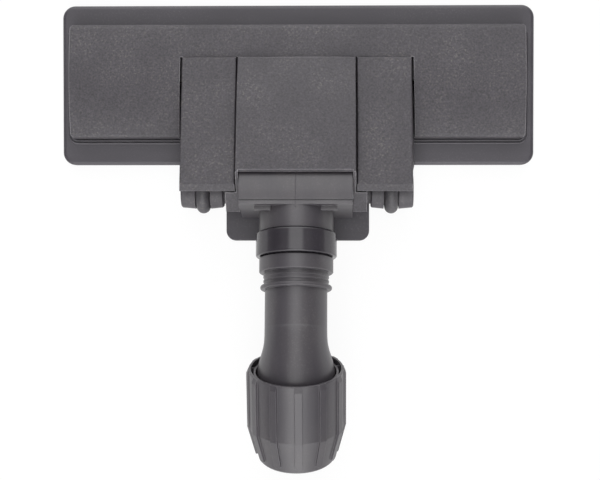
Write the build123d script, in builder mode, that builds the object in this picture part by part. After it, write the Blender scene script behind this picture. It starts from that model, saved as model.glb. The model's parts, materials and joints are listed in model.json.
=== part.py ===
import os
from math import asin, cos, degrees, radians, sin, sqrt, tan

from build123d import *

# Vacuum floor brush head, in millimetres.
# +X is the head's right, +Y its front and +Z up; z = 0 is the floor, under the middle of the sole.

# Head outline
head_width = 270.0
head_depth = 91.3
head_corner = 7.2
flange_top = 9.0
flange_plate = 2.0
floor_thickness = 2.4
rim_wall = 2.2
edge_round = 2.2
sole_round = 1.2
head_front = head_depth / 2
head_rear = -head_depth / 2

# Top shell on the flange
side_flange = 6.0
front_flange = 11.45
rear_flange = 14.75
shell_half_width = head_width / 2 - side_flange
shell_front = head_front - front_flange
shell_rear = head_rear + rear_flange
shell_wall = 2.0
shell_draft = 0.5
shell_front_height = 19.5
shell_cover = 23.2
shell_rear_height = 18.5
shell_front_round = 4.0
shell_rear_round = 3.0
shell_corner = 3.0
seam_gap = 0.3
seam_bead = 0.85
seam_groove = 0.85
seam_lip = 0.65
seam_bead_height = 1.0
seam_front = shell_front - 4.2

# Suction mouth, chamber and duct
mouth_half_width = head_width / 2 - 19.0
mouth_depth = 15.0
chamber_wall = 1.8
chamber_top = 15.2
duct_half_opening = 29.0
duct_half_width = 31.2
duct_plate = 2.2

# Brush that drops through two slots in the sole
slot_width = 5.0
slot_half_length = mouth_half_width + 1.0
front_slot = shell_front - 7.2
mouth_front = front_slot - 8.5
mouth_rear = mouth_front - mouth_depth
rear_slot = mouth_rear - 12.5
carrier_bottom = 9.2
carrier_thickness = 3.5
carrier_bar = 6.0
carrier_half_width = shell_half_width - 4.0
carrier_end_bar = 5.0
back_width = 4.6
back_thickness = 2.0
back_half_length = slot_half_length - 2.0
bristle_width = 3.6
bristle_half_length = back_half_length - 1.0
bristle_clear = 0.8
guide_radius = 2.0
guide_boss = 1.4
guide_top = 17.0
running_gap = 0.08
post_x = 49.0
post_radius = 3.0
leg_width = 6.0
leg_overrun = 3.0
spring_radius = 3.2
spring_wire = 0.5
spring_turns = 4
spring_gap = 0.3

# Neck pivot, drum and hood
drum_radius = 22.0
drum_floor = 5.0
pivot_y = head_rear - 16.35
pivot_z = drum_radius + drum_floor
neck_rise = 12.0
drum_half_width = 31.4
drum_wall = 2.4
drum_disc = 3.0
drum_gap = 0.4
drum_face = 10.2
drum_mouth_start = 124.0
drum_mouth_end = 225.0
drum_line = 7.7
drum_line_width = 0.8
drum_line_depth = 1.0
parting_width = 0.4
parting_depth = 0.3
tab_inner = 14.0
tab_outer = 23.0
tab_low = 12.6
tab_high = 14.6
tab_reach = 2.4
pin_radius = 3.5
pin_outer = 38.5
pin_gap = 0.06
hood_half_width = 33.3
hood_front = shell_front - 19.6
hood_front_height = 25.8
hood_bulge = 2.2
hood_rear = pivot_y + 0.53 * drum_radius
hood_rear_height = pivot_z + drum_radius + 0.6
hood_plate = 2.2
hood_front_wall = 2.0
hood_edge = 1.6
hood_round = 0.6
hood_leg = head_rear - 1.85
arm_outer = 39.5
arm_front = pivot_y + 12.0
arm_front_height = pivot_z - 3.0
arm_low = pivot_y + 6.0
arm_low_height = pivot_z + pin_radius + 0.1
arm_step = pivot_y - 1.5
arm_step_top = pivot_y + 0.4
arm_step_height = pivot_z + 11.5
arm_rear = pivot_y - 10.5
arm_rear_height = pivot_z + 2.0
tongue_half_width = 41.2
tongue_rear = pivot_y - 27.3
tongue_bottom = 1.2
tongue_corner = 5.8
tongue_edge = 0.7
tongue_taper = 30.0

# Rear wheels on stub axles
wheel_y = pivot_y + 1.5
tyre_radius = 13.0
tyre_middle = 53.5
tyre_width = 7.8
tyre_seat = tyre_radius - 4.8
tyre_shoulder = tyre_radius - 3.4
tyre_seat_gap = 0.05
tyre_side_gap = 0.4
hub_inner = 41.8
hub_outer = 66.0
hub_radius = tyre_radius - 2.7
hub_end_radius = tyre_radius - 3.4
hub_face = hub_end_radius - 1.7
hub_face_depth = 1.2
wheel_boss = hub_face - 0.5
wheel_boss_gap = 0.4
hub_bevel = 0.7
hub_recess = 6.2
hub_recess_depth = 2.4
axle_radius = 3.0
axle_seat = 0.02
axle_gap = 0.06
axle_inner = 34.5
axle_outer = 65.7
clip_radius = 5.4
clip_thickness = 1.0
clip_gap = 0.3

# Foot treads on a shaft under the shell
tread_inner = 34.0
tread_outer = 64.5
tread_draft = 5.0
tread_front = hood_front
tread_front_height = 25.5
tread_rear = pivot_y + 5.0
tread_rear_height = pivot_z + 16.0
tread_lip = pivot_y + 1.1
tread_lip_height = tread_rear_height - 2.6
tread_rear_wall = tread_lip_height - 4.2
tread_plate = 2.2
tread_round = 0.7
tread_wall = 1.8
tread_skirt = 17.2
tread_arch_front = wheel_y + tyre_radius + 1.0
tread_arch_back = tread_arch_front - 3.2
tread_arch_height = 2 * tyre_radius + 8.5
tread_arm_edge = arm_outer + 1.1
tread_arm_front = arm_front + 1.5
tread_arm_height = tread_rear_height - 3.4
shaft_y = hood_front + 2.9
shaft_z = 17.95
shaft_radius = 1.6
shaft_half_length = 77.0
shaft_seat = 0.02
ear_wall = 0.8
ear_width = 4.0
ear_spots = (39.0, 59.0)
bearing_inner = 71.0
bearing_width = 5.0
bearing_wall = 0.7
bearing_root = 0.5
push_y = shell_rear + 6.1
push_gap = 0.3
push_foot = 24.0
push_radius = 3.2
window_front_half = tread_outer + 1.3
window_rear_half = tread_outer + 2.3
window_front = hood_front + 0.25
curtain = 1.6
curtain_bottom = 16.0
curtain_front = hood_front - 1.6

# Swivel joint on the neck, as distances along the neck from its pivot
tube_drop = 2.0
spigot_radius = 21.0
spigot_end = 22.4
spigot_nose_radius = 19.5
spigot_nose_end = 29.0
spigot_bore = 16.5
neck_bore = 15.0
swivel_gap = 0.3
collar_radius = 22.7
collar_start = 22.8
collar_end = 36.5
collar_round = 1.2
flange_radius = 19.3
flange_start = 30.5
flange_end = 34.0
seal_gap = 0.1
root_radius = 17.6
stop_ring_start = 37.0
stop_ring_end = 45.4
stop_ring_radius = 20.7
stop_ring_edge = 0.5
groove_radius = 18.0
ridge_radius = 18.35
ridge_width = 0.8
ridge_spots = (47.3, 49.8)
rib_radius = 20.0
rib_start = 52.4
rib_end = 55.0
rib_round = 1.2
tube_radius = 17.4

# Elbow and tube clamp, as distances along the clamp from the bend
elbow_at = 84.4
elbow_fall = 17.5
bend_radius = 32.0
collet_bore = 18.6
collet_start = 43.1
collet_flange = collet_bore + 2.8
collet_flange_end = 46.0
collet_root = collet_bore + 2.6
collet_tip = collet_bore + 1.6
collet_end = 57.0
collet_slots = 8
collet_slot = 1.6
flare_end = 19.0
flare_half = 12.5
thread_start = 23.0
thread_radius = collet_flange + 0.85
thread_gap = 0.35
thread_lead = 1.0
flare_radius = thread_radius - 0.65
bend_middle_radius = tube_radius + 0.35
flare_start_radius = tube_radius + 2.3
flare_half_radius = flare_radius - 0.75
socket_start = 15.5
socket_radius = collet_bore + 0.15
socket_end = 43.0
ring_start = 55.5
ring_end = 61.5
ring_gap = 0.65
ring_start_radius = collet_root + 1.7
ring_end_radius = collet_tip + 1.1
nut_start = 15.0
nut_end = 70.0
nut_radius = thread_radius + thread_gap + 4.0
nut_rim_round = 0.5
nut_shoulder = 49.0
nut_nose_radius = nut_radius - 5.2
nut_nose_chamfer = 1.0
nut_mouth = collet_bore + 0.6
nut_sleeve = 1.2
nut_skirt = 1.4
nut_cell_end = 44.0
nut_seat_gap = 0.3
nut_ribs = 12
nut_rib_width = 4.2
nut_rib_height = 1.2
nut_rib_lead = 3.0
nut_rib_end = 67.0
nut_web = 1.2
nut_recess = 2.0
nut_rest_turn = -4.0

# Lint strips and housing screws
lint_middle = mouth_half_width - 54.0
lint_length = 70.0
lint_width = 4.0
lint_depth = 1.2
lint_gap = 0.2
lint_thickness = 1.0
screw_y = shell_rear + 8.9
screw_radius = 1.5
screw_head = 3.1
screw_head_depth = 1.7
screw_length = 11.0
screw_gap = 0.04
screw_pilot = 0.2
boss_radius = 3.6

# Places that follow from those sizes
drum_clear = drum_radius + drum_gap
trough_bottom = pivot_z - drum_clear
head_rear_inside = head_rear + rim_wall
shell_middle = (shell_front + shell_rear) / 2
chamber_front = mouth_front + chamber_wall
back_bottom = carrier_bottom - back_thickness
guide_x = carrier_half_width - carrier_end_bar / 2
ear_radius = shaft_radius + ear_wall
bearing_half = shaft_radius + running_gap + bearing_wall
tread_slope = (tread_rear_height - tread_front_height) / (tread_front - tread_rear)
lint_y = (mouth_rear + rear_slot + slot_width / 2) / 2
hood_inside = drum_half_width + drum_gap
hood_middle = (hood_front + hood_rear) / 2
hood_middle_height = (hood_front_height + hood_rear_height) / 2 + hood_bulge
wheel_z = tyre_radius
nut_bore = thread_radius + thread_gap
nut_taper = (nut_radius - nut_nose_radius) / (nut_end - nut_nose_chamfer - nut_shoulder)
bend_angle = neck_rise + elbow_fall
bend_reach = bend_radius * tan(radians(bend_angle / 2))
screw_spots = [
    (side * x, screw_y) for side in (-1, 1) for x in (shell_half_width - 21.0, window_rear_half + 9.2)
]

pivot = Vector(0, pivot_y, pivot_z)
neck_dir = Vector(0, -cos(radians(neck_rise)), sin(radians(neck_rise)))
neck_up = Vector(0, sin(radians(neck_rise)), cos(radians(neck_rise)))
tube_origin = pivot - neck_up * tube_drop
clamp_dir = Vector(0, -cos(radians(elbow_fall)), -sin(radians(elbow_fall)))
clamp_up = Vector(0, -sin(radians(elbow_fall)), cos(radians(elbow_fall)))
elbow_point = tube_origin + neck_dir * elbow_at
bend_start = tube_origin + neck_dir * (elbow_at - bend_reach)
bend_centre = bend_start - neck_up * bend_radius

# In a section plane local x is the radius and local y the distance along the axis
neck_side = Plane(origin=pivot, x_dir=neck_dir, z_dir=(-1, 0, 0))
neck_section = Plane(origin=tube_origin, x_dir=(1, 0, 0), z_dir=-neck_up)
clamp_section = Plane(origin=elbow_point, x_dir=(1, 0, 0), z_dir=-clamp_up)
clamp_cross = Plane(origin=elbow_point, x_dir=(1, 0, 0), z_dir=clamp_dir)
bend_cross = Plane(origin=bend_start, x_dir=(1, 0, 0), z_dir=neck_dir)
half_turn = radians(bend_angle / 2)
bend_middle = Plane(
    origin=bend_centre + neck_up * (bend_radius * cos(half_turn)) + neck_dir * (bend_radius * sin(half_turn)),
    x_dir=(1, 0, 0),
    z_dir=neck_dir * cos(half_turn) - neck_up * sin(half_turn),
)
wheel_section = Plane(origin=(0, wheel_y, wheel_z), x_dir=(0, 0, 1), z_dir=(0, 1, 0))
neck_axis = Axis(tube_origin, neck_dir)
clamp_axis = Axis(elbow_point, clamp_dir)
bend_axis = Axis(bend_centre, (1, 0, 0))
wheel_axis = Axis((0, wheel_y, wheel_z), (1, 0, 0))


def outline(plane, *points):
    # Closed straight-sided outline on a plane
    with BuildSketch(plane) as drawn:
        with BuildLine():
            Polyline(*points, close=True)
        make_face()
    return drawn.sketch


def disc(plane, radius, x=0.0, y=0.0):
    # Round outline on a plane
    with BuildSketch(plane) as drawn:
        with Locations((x, y)):
            Circle(radius)
    return drawn.sketch


def rect(plane, low_x, high_x, low_y, high_y):
    # Rectangle between two corners on a plane
    return outline(plane, (low_x, low_y), (high_x, low_y), (high_x, high_y), (low_x, high_y))


def shell_outline(plane, inset):
    # Side outline of the top shell's outside, or of its inside, which is open downwards
    front = shell_front - inset
    rear = shell_rear + inset
    foot = flange_top if inset == 0 else 0.0
    with BuildSketch(plane) as drawn:
        with BuildLine():
            top = ThreePointArc(
                (front - shell_draft, shell_front_height - inset),
                (shaft_y, shell_cover - inset),
                (rear + shell_draft, shell_rear_height - inset),
            )
            Polyline(top @ 1, (rear, foot), (front, foot), top @ 0)
        make_face()
        upper = drawn.vertices().sort_by(Axis.Y)[-2:].sort_by(Axis.X)
        fillet(upper[0], shell_rear_round - inset)
        fillet(drawn.vertices().sort_by(Axis.X).sort_by(Axis.Y)[-1], shell_front_round - inset)
    return drawn.sketch


def tread_height(y):
    # Height of the tread's top at a place along the head
    return tread_front_height + (tread_front - y) * tread_slope


# Lower housing: sole, flange, suction chamber, duct floor, tongue and shaft bearings
with BuildPart() as base_housing:
    with BuildSketch():
        RectangleRounded(head_width, head_depth, head_corner)
    extrude(amount=flange_top)
    fillet(base_housing.faces().sort_by(Axis.Z)[-1].edges(), edge_round)
    fillet(base_housing.faces().sort_by(Axis.Z)[0].edges(), sole_round)
    with BuildSketch(Plane.XY.offset(floor_thickness)):
        RectangleRounded(head_width - 2 * rim_wall, head_depth - 2 * rim_wall, head_corner - rim_wall)
    extrude(amount=flange_top - flange_plate - floor_thickness, mode=Mode.SUBTRACT)
    inside = shell_half_width - shell_wall - seam_gap
    extrude(
        rect(Plane.XY.offset(flange_top), -inside, inside, shell_rear + shell_wall, shell_front - shell_wall),
        amount=-flange_plate,
        mode=Mode.SUBTRACT,
    )
    lip_start = seam_gap + seam_bead + seam_groove
    with BuildSketch(Plane.XY.offset(flange_top)):
        with Locations((0, shell_middle)):
            for spread, mode in (
                (lip_start + seam_lip, Mode.ADD),
                (lip_start, Mode.SUBTRACT),
                (seam_gap + seam_bead, Mode.ADD),
                (seam_gap, Mode.SUBTRACT),
            ):
                RectangleRounded(
                    2 * (shell_half_width + spread),
                    shell_front - shell_rear + 2 * spread,
                    shell_corner + spread,
                    mode=mode,
                )
        add(rect(Plane.XY, -head_width, head_width, seam_front, head_width), mode=Mode.SUBTRACT)
    extrude(amount=seam_bead_height)

    extrude(
        rect(
            Plane.XY.offset(floor_thickness),
            -mouth_half_width - chamber_wall,
            mouth_half_width + chamber_wall,
            mouth_rear - chamber_wall,
            chamber_front,
        ),
        amount=chamber_top - floor_thickness,
    )
    extrude(
        rect(Plane.XY, -mouth_half_width, mouth_half_width, mouth_rear, mouth_front),
        amount=chamber_top - chamber_wall,
        mode=Mode.SUBTRACT,
    )
    trough_outer = drum_clear + duct_plate
    trough_start = degrees(asin((pivot_z - chamber_top) / drum_clear))
    trough_back = degrees(asin((pivot_z - chamber_top + duct_plate) / trough_outer))
    with BuildSketch(Plane.YZ):
        with BuildLine():
            inner = CenterArc((pivot_y, pivot_z), drum_clear, -trough_start, trough_start - 90)
            outer = CenterArc((pivot_y, pivot_z), trough_outer, -90, 90 - trough_back)
            Line(inner @ 1, outer @ 0)
            Polyline(outer @ 1, (mouth_rear, chamber_top - duct_plate), (mouth_rear, chamber_top), inner @ 0)
        make_face()
    extrude(amount=duct_half_width, both=True)
    extrude(
        rect(
            Plane.XY.offset(chamber_top),
            -duct_half_opening,
            duct_half_opening,
            mouth_rear,
            hood_front - hood_front_wall,
        ),
        amount=-2 * chamber_wall,
        mode=Mode.SUBTRACT,
    )

    with BuildSketch(Plane.XY.offset(tongue_bottom)) as tongue_plan:
        add(rect(Plane.XY, -tongue_half_width, tongue_half_width, tongue_rear, head_rear_inside))
        fillet(tongue_plan.vertices().group_by(Axis.Y)[0], tongue_corner)
    extrude(amount=trough_bottom - tongue_bottom - tongue_edge)
    tongue_top = base_housing.faces().filter_by(Plane.XY).filter_by_position(Axis.Y, tongue_rear, head_rear)
    extrude(tongue_top.sort_by(Axis.Z)[-1], amount=tongue_edge, taper=tongue_taper)

    for side in (-1, 1):
        extrude(
            rect(
                Plane.YZ.offset(side * bearing_inner),
                shaft_y - bearing_half,
                shaft_y + bearing_half,
                chamber_top - bearing_root,
                shaft_z + bearing_half,
            ),
            amount=side * bearing_width,
        )
    extrude(
        disc(Plane.YZ, shaft_radius + running_gap, shaft_y, shaft_z),
        amount=shaft_half_length,
        both=True,
        mode=Mode.SUBTRACT,
    )

    for slot in (front_slot, rear_slot):
        extrude(
            rect(Plane.XY, -slot_half_length, slot_half_length, slot - slot_width / 2, slot + slot_width / 2),
            amount=floor_thickness,
            mode=Mode.SUBTRACT,
        )
        for side in (-1, 1):
            extrude(disc(Plane.XY, guide_radius, side * guide_x, slot), amount=guide_top)
    for side in (-1, 1):
        with Locations((side * lint_middle, lint_y, 0)):
            Box(lint_length, lint_width, 2 * lint_depth, mode=Mode.SUBTRACT)
    with Locations(*[Location((x, y, 0), (180, 0, 0)) for x, y in screw_spots]):
        CounterSinkHole(screw_radius + screw_pilot, screw_head + screw_pilot, depth=floor_thickness)

# Top shell: arched cover with a window for the hood and the treads
with BuildPart() as top_shell:
    extrude(shell_outline(Plane.YZ, 0), amount=shell_half_width, both=True)
    with BuildSketch():
        with Locations((0, shell_middle)):
            RectangleRounded(2 * shell_half_width, shell_front - shell_rear, shell_corner)
    extrude(amount=2 * shell_cover, mode=Mode.INTERSECT)
    extrude(
        shell_outline(Plane.YZ, shell_wall),
        amount=shell_half_width - shell_wall,
        both=True,
        mode=Mode.SUBTRACT,
    )
    for x, y in screw_spots:
        extrude(disc(Plane.XY.offset(floor_thickness), boss_radius, x, y), amount=shell_rear_height - floor_thickness)
    extrude(
        outline(
            Plane.XY,
            (-window_front_half, window_front),
            (-window_rear_half, shell_rear),
            (-window_rear_half, 2 * shell_rear),
            (window_rear_half, 2 * shell_rear),
            (window_rear_half, shell_rear),
            (window_front_half, window_front),
        ),
        amount=2 * shell_cover,
        mode=Mode.SUBTRACT,
    )
    for side in (-1, 1):
        with BuildSketch(Plane.YZ.offset(side * window_rear_half)):
            add(shell_outline(Plane.XY, 0))
            add(rect(Plane.XY, shell_rear, curtain_front, curtain_bottom, 2 * shell_cover), mode=Mode.INTERSECT)
        extrude(amount=side * curtain)
    for x, y in screw_spots:
        extrude(
            disc(Plane.XY.offset(floor_thickness), screw_radius + screw_gap, x, y),
            amount=screw_length,
            mode=Mode.SUBTRACT,
        )

# Neck hood: rising roof, side walls and the two arms that carry the drum and the wheels
with BuildPart() as neck_hood:
    with BuildSketch(Plane.YZ):
        with BuildLine():
            roof = ThreePointArc(
                (hood_front, hood_front_height), (hood_middle, hood_middle_height), (hood_rear, hood_rear_height)
            )
            Polyline(
                roof @ 1,
                (arm_step_top, arm_step_height),
                (arm_rear, arm_rear_height),
                (arm_rear, trough_bottom),
                (hood_leg, trough_bottom),
                (hood_leg, chamber_top),
                (hood_front, chamber_top),
                roof @ 0,
            )
        make_face()
    extrude(amount=hood_half_width, both=True)
    fillet(neck_hood.edges().filter_by(GeomType.CIRCLE), hood_round)
    with BuildSketch(Plane.YZ):
        with BuildLine():
            ceiling = ThreePointArc(
                (hood_front - hood_front_wall, hood_front_height - hood_plate / 2),
                (hood_middle, hood_middle_height - hood_plate),
                (hood_rear, hood_rear_height - hood_plate),
            )
            Polyline(
                ceiling @ 1,
                (hood_rear, hood_rear_height - hood_edge),
                (hood_rear + 2 * hood_edge, hood_rear_height + hood_edge),
                (arm_rear - hood_plate, hood_rear_height + hood_edge),
                (arm_rear - hood_plate, 0),
                (hood_front - hood_front_wall, 0),
                ceiling @ 0,
            )
        make_face()
    extrude(amount=hood_inside, both=True, mode=Mode.SUBTRACT)
    for side in (-1, 1):
        extrude(
            outline(
                Plane.YZ.offset(side * hood_half_width),
                (arm_front, trough_bottom),
                (arm_front, arm_front_height),
                (arm_low, arm_low_height),
                (arm_step, arm_low_height),
                (arm_step_top, arm_step_height),
                (arm_rear, arm_rear_height),
                (arm_rear, trough_bottom),
            ),
            amount=side * (arm_outer - hood_half_width),
        )
        extrude(
            disc(Plane.YZ.offset(side * arm_outer), wheel_boss, wheel_y, wheel_z),
            amount=side * (hub_inner + hub_face_depth - wheel_boss_gap - arm_outer),
        )
    extrude(
        disc(Plane.YZ, pin_radius + axle_seat, pivot_y, pivot_z),
        amount=pin_outer,
        both=True,
        mode=Mode.SUBTRACT,
    )
    extrude(
        disc(Plane.YZ, axle_radius + axle_seat, wheel_y, wheel_z),
        amount=hub_inner + hub_face_depth,
        both=True,
        mode=Mode.SUBTRACT,
    )

# Right foot tread: sloping plate with skirts, a wheel arch, two ears on the shaft and a push foot
with BuildPart() as right_tread:
    side_view = (
        (tread_front, tread_front_height),
        (tread_rear, tread_rear_height),
        (tread_lip, tread_lip_height),
        (tread_lip, tread_rear_wall),
        (tread_arch_back, tread_arch_height),
        (tread_arch_front, tread_skirt),
        (tread_front, tread_skirt),
    )
    draft_depth = tread_rear_height - tread_skirt
    draft_reach = tread_outer + draft_depth * tan(radians(tread_draft))
    extrude(outline(Plane.YZ.offset(tread_inner), *side_view), amount=draft_reach - tread_inner)
    slope_plane = Plane(
        origin=(0, tread_front, tread_front_height),
        x_dir=(1, 0, 0),
        z_dir=(0, tread_rear - tread_front, tread_rear_height - tread_front_height),
    )
    extrude(
        outline(
            slope_plane.offset(-draft_depth),
            (tread_outer, 0),
            (draft_reach, -draft_depth),
            (2 * tread_outer, -draft_depth),
            (2 * tread_outer, draft_depth),
            (tread_outer, draft_depth),
        ),
        amount=tread_front - tread_lip + 2 * draft_depth,
        mode=Mode.SUBTRACT,
    )
    tread_top = right_tread.faces().filter_by(lambda face: face.normal_at().Z > 0.9).sort_by(SortBy.AREA)[-1]
    fillet(tread_top.edges(), tread_round)
    cavity_front = tread_front - tread_wall
    cavity_rear = tread_lip + tread_wall
    extrude(
        outline(
            Plane.YZ.offset(tread_inner + tread_wall),
            (cavity_front, 0),
            (cavity_front, tread_height(cavity_front) - tread_plate),
            (tread_rear + tread_wall / 2, tread_rear_height - tread_plate),
            (cavity_rear, tread_lip_height - tread_plate / 2),
            (cavity_rear, 0),
        ),
        amount=tread_outer - tread_inner - 2 * tread_wall,
        mode=Mode.SUBTRACT,
    )
    extrude(
        rect(Plane.YZ.offset(tread_inner), tread_lip - tread_wall, tread_arm_front, 0, tread_arm_height),
        amount=tread_arm_edge - tread_inner,
        mode=Mode.SUBTRACT,
    )
    for x in ear_spots:
        with BuildSketch(Plane.YZ.offset(x - ear_width / 2)):
            with Locations((shaft_y, shaft_z)):
                Circle(ear_radius)
            add(rect(Plane.XY, cavity_front, shaft_y, tread_skirt, shaft_z + ear_radius))
            with Locations((shaft_y, shaft_z)):
                Circle(shaft_radius + shaft_seat, mode=Mode.SUBTRACT)
        extrude(amount=ear_width)
    extrude(
        disc(Plane.XY.offset(push_foot), push_radius, post_x, push_y),
        amount=tread_height(push_y) - tread_plate / 2 - push_foot,
    )

with BuildPart() as left_tread:
    mirror(right_tread.part, about=Plane.YZ)

with BuildPart() as pedal_shaft:
    extrude(disc(Plane.YZ, shaft_radius, shaft_y, shaft_z), amount=shaft_half_length, both=True)

# Brush carrier: a frame around the suction chamber, on four guide pins, with two posts under the treads
with BuildPart() as brush_carrier:
    carrier_low = rear_slot - carrier_bar / 2
    carrier_high = front_slot + carrier_bar / 2
    carrier_plane = Plane.XY.offset(carrier_bottom)
    with BuildSketch(carrier_plane):
        add(rect(Plane.XY, -carrier_half_width, carrier_half_width, carrier_low, carrier_high))
        opening = carrier_half_width - carrier_end_bar
        add(
            rect(Plane.XY, -opening, opening, carrier_low + carrier_bar, carrier_high - carrier_bar),
            mode=Mode.SUBTRACT,
        )
        for side in (-1, 1):
            leg = side * post_x
            add(rect(Plane.XY, leg - leg_width / 2, leg + leg_width / 2, push_y - leg_overrun, rear_slot))
            for slot in (front_slot, rear_slot):
                with Locations((side * guide_x, slot)):
                    Circle(guide_radius + guide_boss)
                    Circle(guide_radius + running_gap, mode=Mode.SUBTRACT)
    extrude(amount=carrier_thickness)
    for side in (-1, 1):
        extrude(disc(carrier_plane, post_radius, side * post_x, push_y), amount=push_foot - push_gap - carrier_bottom)


def brush_back(slot):
    # Strip under a carrier bar that holds the tufts
    with BuildPart() as back:
        extrude(
            rect(
                Plane.XY.offset(back_bottom),
                -back_half_length,
                back_half_length,
                slot - back_width / 2,
                slot + back_width / 2,
            ),
            amount=back_thickness,
        )
    return back.part


def bristle_row(slot):
    # Row of bristles, from its back down to just above the floor
    with BuildPart() as row:
        extrude(
            rect(
                Plane.XY.offset(bristle_clear),
                -bristle_half_length,
                bristle_half_length,
                slot - bristle_width / 2,
                slot + bristle_width / 2,
            ),
            amount=back_bottom - bristle_clear,
        )
    return row.part


def lift_spring(x):
    # Coil between the sole and a carrier leg
    rise = carrier_bottom - floor_thickness - 2 * spring_wire - 2 * spring_gap
    start = floor_thickness + spring_wire + spring_gap
    with BuildPart() as spring:
        with BuildLine():
            coil = Helix(rise / spring_turns, rise, spring_radius, center=(x, push_y, start))
        with BuildSketch(Plane(origin=coil @ 0, z_dir=coil % 0)):
            RegularPolygon(spring_wire, 6)
        sweep()
    return spring.part


def lint_strip(x):
    # Directional pile pad in its pocket beside the mouth
    with BuildPart() as strip:
        with Locations((x, lint_y, lint_depth - lint_thickness)):
            Box(
                lint_length - 2 * lint_gap,
                lint_width - 2 * lint_gap,
                lint_thickness,
                align=(Align.CENTER, Align.CENTER, Align.MIN),
            )
    return strip.part


with BuildPart() as housing_screws:
    for x, y in screw_spots:
        with BuildSketch(Plane(origin=(x, y, 0), x_dir=(1, 0, 0), z_dir=(0, -1, 0))):
            with BuildLine():
                Polyline(
                    (0, screw_pilot),
                    (screw_head, screw_pilot),
                    (screw_radius, screw_pilot + screw_head_depth),
                    (screw_radius, screw_length),
                    (0, screw_length + screw_radius / 2),
                    close=True,
                )
            make_face()
        revolve(axis=Axis((x, y, 0), (0, 0, 1)))

# Yoke: hollow drum with a flat rear face, open to the duct in front, and the spigot of the swivel joint
with BuildPart() as yoke:
    with BuildSketch(neck_side):
        Circle(drum_radius)
        add(rect(Plane.XY, drum_face, 2 * drum_radius, -drum_radius, drum_radius), mode=Mode.SUBTRACT)
    extrude(amount=drum_half_width, both=True)
    revolve(
        outline(
            neck_section,
            (0, drum_face - drum_wall),
            (spigot_radius, drum_face - drum_wall),
            (spigot_radius, spigot_end),
            (spigot_nose_radius, spigot_end),
            (spigot_nose_radius, spigot_nose_end),
            (0, spigot_nose_end),
        ),
        axis=neck_axis,
    )
    with BuildSketch(neck_side):
        Circle(drum_radius - drum_wall)
        add(
            rect(Plane.XY, drum_face - drum_wall, 2 * drum_radius, -drum_radius, drum_radius), mode=Mode.SUBTRACT
        )
    extrude(amount=drum_half_width - drum_disc, both=True, mode=Mode.SUBTRACT)
    mouth_reach = 2 * drum_radius
    mouth_angles = (drum_mouth_start, (drum_mouth_start + drum_mouth_end) / 2, drum_mouth_end)
    mouth_points = [(mouth_reach * cos(radians(a)), mouth_reach * sin(radians(a))) for a in mouth_angles]
    extrude(
        outline(neck_side, (0, 0), *mouth_points),
        amount=drum_half_width - drum_disc,
        both=True,
        mode=Mode.SUBTRACT,
    )
    revolve(
        outline(
            neck_section,
            (0, drum_face - 2 * drum_wall),
            (spigot_bore, drum_face - 2 * drum_wall),
            (spigot_bore, spigot_nose_end),
            (0, spigot_nose_end),
        ),
        axis=neck_axis,
        mode=Mode.SUBTRACT,
    )
    for side in (-1, 1):
        extrude(
            rect(neck_side.offset(side * tab_inner), drum_face - drum_wall, drum_face + tab_reach, tab_low, tab_high),
            amount=side * (tab_outer - tab_inner),
        )
    with BuildSketch(neck_side):
        Circle(drum_radius + parting_depth)
        Circle(drum_radius - parting_depth, mode=Mode.SUBTRACT)
    extrude(amount=parting_width / 2, both=True, mode=Mode.SUBTRACT)
    line_low = sqrt(drum_radius**2 - drum_line**2) - drum_line_depth
    extrude(
        rect(neck_side, drum_line, drum_line + drum_line_width, line_low, drum_radius),
        amount=drum_half_width,
        both=True,
        mode=Mode.SUBTRACT,
    )
    extrude(
        disc(neck_side, pin_radius + pin_gap),
        amount=drum_half_width,
        both=True,
        mode=Mode.SUBTRACT,
    )

with BuildPart() as swivel_seal:
    revolve(
        rect(neck_section, neck_bore, spigot_nose_radius, spigot_nose_end + seal_gap, flange_start - seal_gap),
        axis=neck_axis,
    )

# Swivel collar: ring on the spigot's nose whose lip holds the elbow's flange
with BuildPart() as swivel_collar:
    cup = flange_radius + swivel_gap
    lip = root_radius + swivel_gap
    revolve(
        outline(
            neck_section,
            (cup, collar_start),
            (collar_radius, collar_start),
            (collar_radius, collar_end),
            (lip, collar_end),
            (lip, flange_end + swivel_gap),
            (cup, flange_end + swivel_gap),
        ),
        axis=neck_axis,
    )
    fillet(swivel_collar.edges().filter_by(GeomType.CIRCLE).sort_by(SortBy.RADIUS)[-2:], collar_round)

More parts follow.
